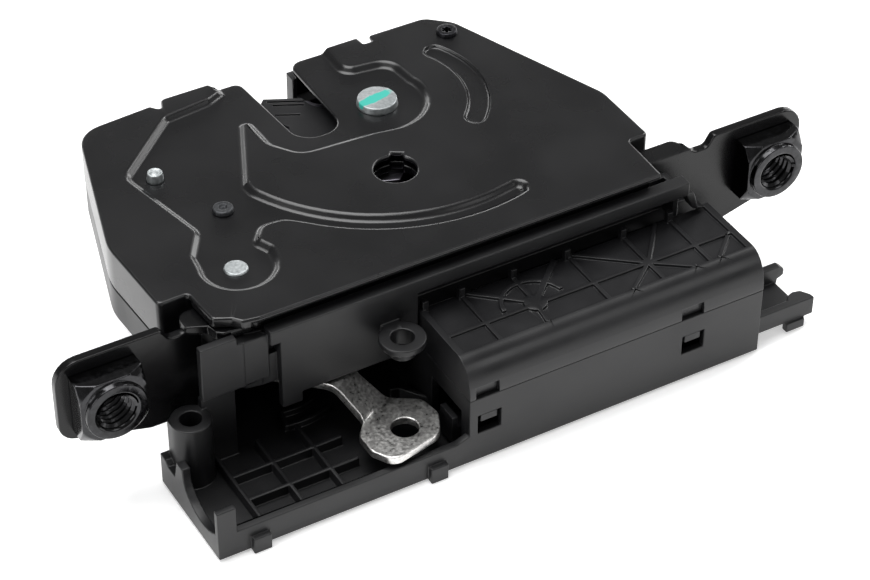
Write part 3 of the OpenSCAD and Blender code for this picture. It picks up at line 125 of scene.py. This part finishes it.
# Lights: soft boxes all round and an even white room. The one above gives the cover its broad
# sheen, the left one its bright folded edge, the high right one the glint on the lever's bend,
# and the strip behind draws a light line along each edge that is pressed into the cover.
CENTRE = Vector((0, 15, 0)) * MM
ROOM_GLOW = 0.24
for name, at, width, height, watts in [
    ("box_over", (-0.15, 0.20, 1.05), 0.8, 0.8, 13.5),
    ("box_left", (-1.0, -0.15, 0.50), 0.5, 0.5, 3.5),
    ("box_right", (1.0, 0.30, 0.30), 0.4, 0.4, 3.0),
    ("box_front", (0.50, -0.9, 0.70), 0.5, 0.5, 2.0),
    ("strip_back", (0.35, 1.0, 0.14), 1.4, 0.2, 4.0),
    ("box_high_right", (0.80, 0.20, 0.80), 0.2, 0.2, 3.0),
]:
    lamp = bpy.data.lights.new(name, "AREA")
    lamp.shape = "RECTANGLE"
    lamp.size = width
    lamp.size_y = height
    lamp.energy = watts
    holder = bpy.data.objects.new(name, lamp)
    holder.location = at
    holder.rotation_mode = "QUATERNION"
    holder.rotation_quaternion = (CENTRE - Vector(at)).to_track_quat("-Z", "Y")
    bpy.context.scene.collection.objects.link(holder)
room = bpy.data.worlds.new("room")
room.use_nodes = True
room.node_tree.nodes["Background"].inputs["Color"].default_value = colour("#ffffff")
room.node_tree.nodes["Background"].inputs["Strength"].default_value = ROOM_GLOW
bpy.context.scene.world = room
bpy.context.scene.view_settings.view_transform = "Standard"

# Frame plate and ears: one stamping of 2 mm steel, bent down into the two ears and coated
# black by dipping. The coating is thin and even, so its edges shine a little.
WELD_MM = 0.004
FACE_WEIGHT = 100


def soften(name, width, material, segments=2, limit=32):
    """Gives a CAD node its material and rounds its edges by width millimetres."""
    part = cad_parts[name]
    mesh = part.data
    mesh.materials.clear()
    mesh.materials.append(material)
    if "custom_normal" in mesh.attributes:
        mesh.attributes.remove(mesh.attributes["custom_normal"])
    mesh.shade_smooth()
    weld = part.modifiers.new("weld", "WELD")
    weld.merge_threshold = WELD_MM * MM
    if width:
        bevel = part.modifiers.new("bevel", "BEVEL")
        bevel.width = width * MM
        bevel.segments = segments
        bevel.limit_method = "ANGLE"
        bevel.angle_limit = radians(limit)
        bevel.use_clamp_overlap = False
        bevel.loop_slide = False
    even = part.modifiers.new("even", "WEIGHTED_NORMAL")
    even.keep_sharp = False
    even.weight = FACE_WEIGHT


def noise(tree, place, size_mm, detail=2.0, stretch=(1, 1, 1)):
    """Noise with blobs about size_mm wide, drawn out along an axis whose stretch is below 1."""
    scaled = add(tree, "Mapping", {"Scale": stretch}, {"Vector": place}).outputs["Vector"]
    values = {"Scale": 1 / (size_mm * MM), "Detail": detail}
    return add(tree, "TexNoise", values, {"Vector": scaled}).outputs["Fac"]


def blend(tree, dark, light, amount):
    """Mixes two colours, each a hex value or a socket, by a socket from 0 to 1."""
    mix = add(tree, "Mix", data_type="RGBA")
    factor, first, second = mix.inputs[0], mix.inputs[6], mix.inputs[7]
    tree.links.new(amount, factor)
    for socket, value in ((first, dark), (second, light)):
        if isinstance(value, str):
            socket.default_value = colour(value)
        else:
            tree.links.new(value, socket)
    return mix.outputs[2]


def span(tree, value, low, high, new_low=0.0, new_high=1.0):
    """Maps a socket from one range to another."""
    ends = {"From Min": low, "From Max": high, "To Min": new_low, "To Max": new_high}
    return add(tree, "MapRange", ends, {"Value": value}).outputs["Result"]


def spread(tree, value, new_low, new_high):
    """Maps noise, which stays mostly between 0.3 and 0.7, to another range."""
    return span(tree, value, 0.3, 0.7, new_low, new_high)


def join(tree, shader, tone, rough, bumps):
    """Links colour, roughness and a chain of bumps, each (height, depth in mm), to the shader."""
    normal = None
    for height, depth_mm in bumps:
        links = {"Height": height}
        if normal:
            links["Normal"] = normal
        values = {"Strength": 1.0, "Distance": depth_mm * MM}
        normal = add(tree, "Bump", values, links).outputs["Normal"]
    tree.links.new(tone, shader.inputs["Base Color"])
    tree.links.new(rough, shader.inputs["Roughness"])
    tree.links.new(normal, shader.inputs["Normal"])


def coated_steel(name, dark, light, gloss, peel_mm, shine=0.5):
    """Black coating on steel: faint cloudiness, sparse grey dust and a fine orange peel."""
    made, tree, shader, place = surface(name)
    shader.inputs["Specular IOR Level"].default_value = shine
    cloud = noise(tree, place, size_mm=16, detail=3.0)
    dust = noise(tree, place, size_mm=0.4)
    peel = noise(tree, place, peel_mm)
    tone = blend(tree, dark, light, cloud)
    tone = blend(tree, tone, "#3a3a3a", span(tree, dust, 0.72, 0.86, 0.0, 0.3))
    rough = spread(tree, cloud, gloss - 0.02, gloss + 0.04)
    join(tree, shader, tone, rough, [(peel, 0.004)])
    return made


ear_coat = coated_steel("dip_coated_steel", "#030304", "#070708", 0.24, 0.8, shine=0.3)
soften("frame_plate", 0.3, ear_coat)

# Cover plate: a stamping of 1.2 mm steel with the catch's and the pawl's field pressed down and
# a folded left edge. Its black coat is satin, and every pressed edge catches a line of light.
cover_coat = coated_steel("electrocoated_cover_steel", "#060607", "#0c0c0e", 0.27, 0.7)
soften("cover_plate", 0.55, cover_coat, segments=3)

# Weld nuts: square M8 nuts with a round collar, welded behind the ears, blackened and oiled. The
# thread inside each is a helical ridge of 1.25 mm pitch.


def stroke(tree, place, at, turn, reach, ragged):
    """A stroke's mask, from 0 to 1: its middle, its angle in degrees and its half sizes in mm."""
    across = {
        "Location": Vector(at) * MM,
        "Rotation": (0, 0, radians(turn)),
        "Scale": Vector(reach) * MM,
    }
    local = add(tree, "Mapping", across, {"Vector": place}, vector_type="TEXTURE")
    links = {"Vector": local.outputs["Vector"]}
    ball = add(tree, "TexGradient", links=links, gradient_type="SPHERICAL").outputs["Fac"]
    edge = spread(tree, noise(tree, place, size_mm=1.2, detail=3.0), -ragged, ragged)
    total = add(tree, "Math", links={0: ball, 1: edge}, operation="ADD").outputs["Value"]
    return span(tree, total, 0.22, 0.34)


def bare_metal(name, dark, light, gloss, grain_mm, stretch=(1, 1, 1), relief=0.003, paint=None):
    """Uncoated or plated metal: a cloudy tone, marks in tone, gloss and a fine relief."""
    made, tree, shader, place = surface(name)
    cloud = noise(tree, place, size_mm=7, detail=3.0)
    marks = noise(tree, place, grain_mm, 3.0, stretch)
    both = add(tree, "Math", links={0: cloud, 1: marks}, operation="ADD").outputs["Value"]
    tone = blend(tree, dark, light, span(tree, both, 0.75, 1.25))
    rough = spread(tree, marks, gloss - 0.04, gloss + 0.08)
    if paint:
        brushed = stroke(tree, place, **paint)
        tone = blend(tree, tone, TEAL, brushed)
        rough = span(tree, brushed, 0.0, 1.0, gloss, PAINT_GLOSS)
        metal = span(tree, brushed, 0.0, 1.0, 1.0, 0.0)
        tree.links.new(metal, shader.inputs["Metallic"])
    else:
        shader.inputs["Metallic"].default_value = 1.0
    join(tree, shader, tone, rough, [(marks, relief)])
    return made


nut_black = bare_metal("black_zinc", "#202021", "#343436", 0.17, 0.9)
oil = nut_black.node_tree.nodes["Principled BSDF"]
oil.inputs["Coat Weight"].default_value = 0.35
oil.inputs["Coat Roughness"].default_value = 0.12
for node in ("weld_nut_left", "weld_nut_right"):
    soften(node, 0.22, nut_black)

NUT_AT = 75
PITCH = 1.25
CREST_R, ROOT_R = 3.42, 4.03
FLANK, CREST = 0.42, 0.2
TURNS = 6
STEPS = 36
for name, axis_x in (("nut_thread_left", -NUT_AT), ("nut_thread_right", NUT_AT)):
    ridge = bmesh.new()
    profile = [
        (ROOT_R, 0),
        (CREST_R, -FLANK),
        (CREST_R, -FLANK - CREST),
        (ROOT_R, -FLANK - CREST - FLANK),
    ]
    corners = [ridge.verts.new(Vector((axis_x + r, y, 0)) * MM) for r, y in profile]
    start = ridge.faces.new(corners)
    bmesh.ops.spin(
        ridge,
        geom=[start, *start.edges, *start.verts],
        cent=Vector((axis_x, 0, 0)) * MM,
        axis=(0, 1, 0),
        dvec=Vector((0, -PITCH / STEPS, 0)) * MM,
        angle=2 * pi * TURNS,
        steps=STEPS * TURNS,
    )
    bmesh.ops.recalc_face_normals(ridge, faces=ridge.faces)
    mesh = bpy.data.meshes.new(name)
    ridge.to_mesh(mesh)
    ridge.free()
    mesh.materials.append(nut_black)
    thread = bpy.data.objects.new(name, mesh)
    bpy.context.scene.collection.objects.link(thread)
    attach(thread, "latch")

# Lock housing and actuator housing: black glass-filled nylon with the fine spark-eroded grain
# of its mould, a little grey where the glass lies near the surface.


def moulded(name, dark, light, gloss, grain_mm, grain_depth):
    """Moulded plastic: cloudy tone, pale glass flecks, mould grain and shallow sink marks."""
    made, tree, shader, place = surface(name)
    shader.inputs["Specular IOR Level"].default_value = 0.4
    cloud = noise(tree, place, size_mm=12, detail=3.0)
    grain = noise(tree, place, grain_mm)
    fleck = noise(tree, place, size_mm=0.25, detail=1.0)
    tone = blend(tree, dark, light, cloud)
    tone = blend(tree, tone, "#4c4c4c", span(tree, fleck, 0.68, 0.80, 0.0, 0.25))
    rough = spread(tree, cloud, gloss - 0.05, gloss + 0.07)
    join(tree, shader, tone, rough, [(grain, grain_depth), (cloud, 0.03)])
    return made


housing_plastic = moulded("glass_filled_nylon", "#0a0a0b", "#121214", 0.40, 0.35, 0.008)
soften("lock_housing", 0.25, housing_plastic)
soften("actuator_housing", 0.25, housing_plastic)

# Actuator cap: the same nylon with less glass, moulded smoother, so its long rounded front
# edge and its ribs shine more than the housing.
cap_plastic = moulded("smooth_nylon", "#101011", "#1a1a1c", 0.34, 0.5, 0.005)
soften("actuator_cap", 0.14, cap_plastic)

# Plug socket: black polyester, moulded by itself and set into the housing's rear wall. It is a
# little greyer and duller than the cap.
socket_plastic = moulded("connector_polyester", "#161618", "#202023", 0.42, 0.4, 0.005)
soften("plug_socket", 0.2, socket_plastic)

# Back plate: plain zinc-phosphated steel between the housing's floor and the catch, seen only
# through the openings.
phosphate = bare_metal("phosphated_steel", "#2a2b2d", "#4a4b4d", 0.5, 0.4)
soften("back_plate", 0.0, phosphate)

# Catch: hardened steel with a lilac-grey scale in the striker's seat and at the teeth, and a
# smooth black plastic jacket with slits that let it give.
catch_steel = bare_metal("hardened_steel", "#6f6c76", "#a5a2aa", 0.34, 1.5, (0.3, 1, 1))
soften("catch_core", 0.2, catch_steel)
jacket_plastic = moulded("smooth_black_acetal", "#101011", "#19191b", 0.33, 0.8, 0.004)
soften("catch_jacket", 0.12, jacket_plastic)

# Rivets: zinc-plated steel, spun over on the cover. The catch's rivet carries a stroke of teal
# inspection paint, ragged where the brush ran dry.
RIVET_DARK, RIVET_LIGHT = "#999e9f", "#bfc3c4"
RIVET_LOOK = {"gloss": 0.48, "grain_mm": 0.6, "relief": 0.012}
TEAL = "#2aa294"
PAINT_GLOSS = 0.6
MARK = {"at": (7.3, 42.1, 11.6), "turn": 9.4, "reach": (6.6, 1.7, 3.0), "ragged": 0.12}
rivet_zinc = bare_metal("plated_rivet_steel", RIVET_DARK, RIVET_LIGHT, **RIVET_LOOK)
for node in ("pawl_pivot", "stop_rivet"):
    soften(node, 0.14, rivet_zinc)
painted_zinc = bare_metal(
    "painted_rivet_steel", RIVET_DARK, RIVET_LIGHT, **RIVET_LOOK, paint=MARK
)
soften("catch_pivot", 0.14, painted_zinc)

# Locating pin: phosphated steel like the back plate, pressed into the cover between the two
# bright rivets, with a well rounded step.
soften("locating_pin", 0.3, phosphate, segments=3)

# Pawl, sleeve and release lever: stamped steel, tumbled and zinc plated, so the edges are worn
# round and bright and the faces carry a faint mottle.
lever_zinc = bare_metal("tumbled_zinc", "#b2b1af", "#eae9e6", 0.31, 0.6, relief=0.006)
for node in ("pawl", "pawl_sleeve", "release_lever"):
    soften(node, 0.22, lever_zinc)

# Springs, motor's shaft and wheel's axle: hard drawn steel wire and rod, left bare. Their round
# sides need no bevel.
wire_steel = bare_metal("spring_wire", "#77777a", "#b0b0b2", 0.25, 0.3)
for node in ("catch_spring", "pawl_spring", "motor_shaft", "wheel_axle"):
    soften(node, 0.0, wire_steel)

# Screws: rolled steel. The one in the cover is blackened, and the three that hold the two
# housings together are zinc plated.
screw_black = bare_metal("black_screw_steel", "#1c1c1e", "#3a3a3d", 0.36, 0.4)
soften("cover_screw", 0.15, screw_black)
screw_zinc = bare_metal("zinc_screw_steel", "#6a6b6c", "#9a9b9c", 0.33, 0.4)
soften("housing_screws", 0.15, screw_zinc)

# Striker bumper: a block of soft black rubber, pushed into the bottom of the mouth, where it
# stops the striker's rod. It is the dullest piece.
rubber = moulded("bumper_rubber", "#0b0b0c", "#131314", 0.62, 0.6, 0.012)
soften("striker_bumper", 0.4, rubber)

# Motor: a can deep drawn from steel strip, with faint lines along it, closed by a pale plastic
# end cap that holds the brushes.
can_steel = bare_metal("drawn_can_steel", "#8d8e8d", "#c2c3c1", 0.3, 1.2, (0.2, 1, 1))
soften("motor_can", 0.4, can_steel)
end_plastic = moulded("pale_acetal", "#cfcdc2", "#e4e2d8", 0.42, 0.6, 0.004)
soften("motor_end_cap", 0.1, end_plastic)

# Worm wheel and rack slider: moulded acetal, pale for the wheel and black for the slider, both
# smooth so that they run without grease.
soften("worm_wheel", 0.1, end_plastic)
soften("rack_slider", 0.12, jacket_plastic)

# Worm, terminals, pins and lead frame: brass, turned for the worm and stamped for the rest, and
# a little cloudy from handling.
brass = bare_metal("brass", "#a3823c", "#d9bd6f", 0.3, 0.5)
for node in ("worm", "motor_terminals", "switch_terminals", "plug_pins", "lead_frame"):
    soften(node, 0.0, brass)

# Micro switch: a dark moulded case with a red plunger that the catch pushes in. Both are
# smooth, and the plunger shines a little more.
switch_plastic = moulded("switch_polyester", "#1d1d20", "#27272a", 0.4, 0.5, 0.005)
soften("micro_switch", 0.15, switch_plastic)
plunger_plastic = moulded("red_acetal", "#8e1d15", "#b02a20", 0.38, 0.5, 0.004)
soften("switch_plunger", 0.1, plunger_plastic)
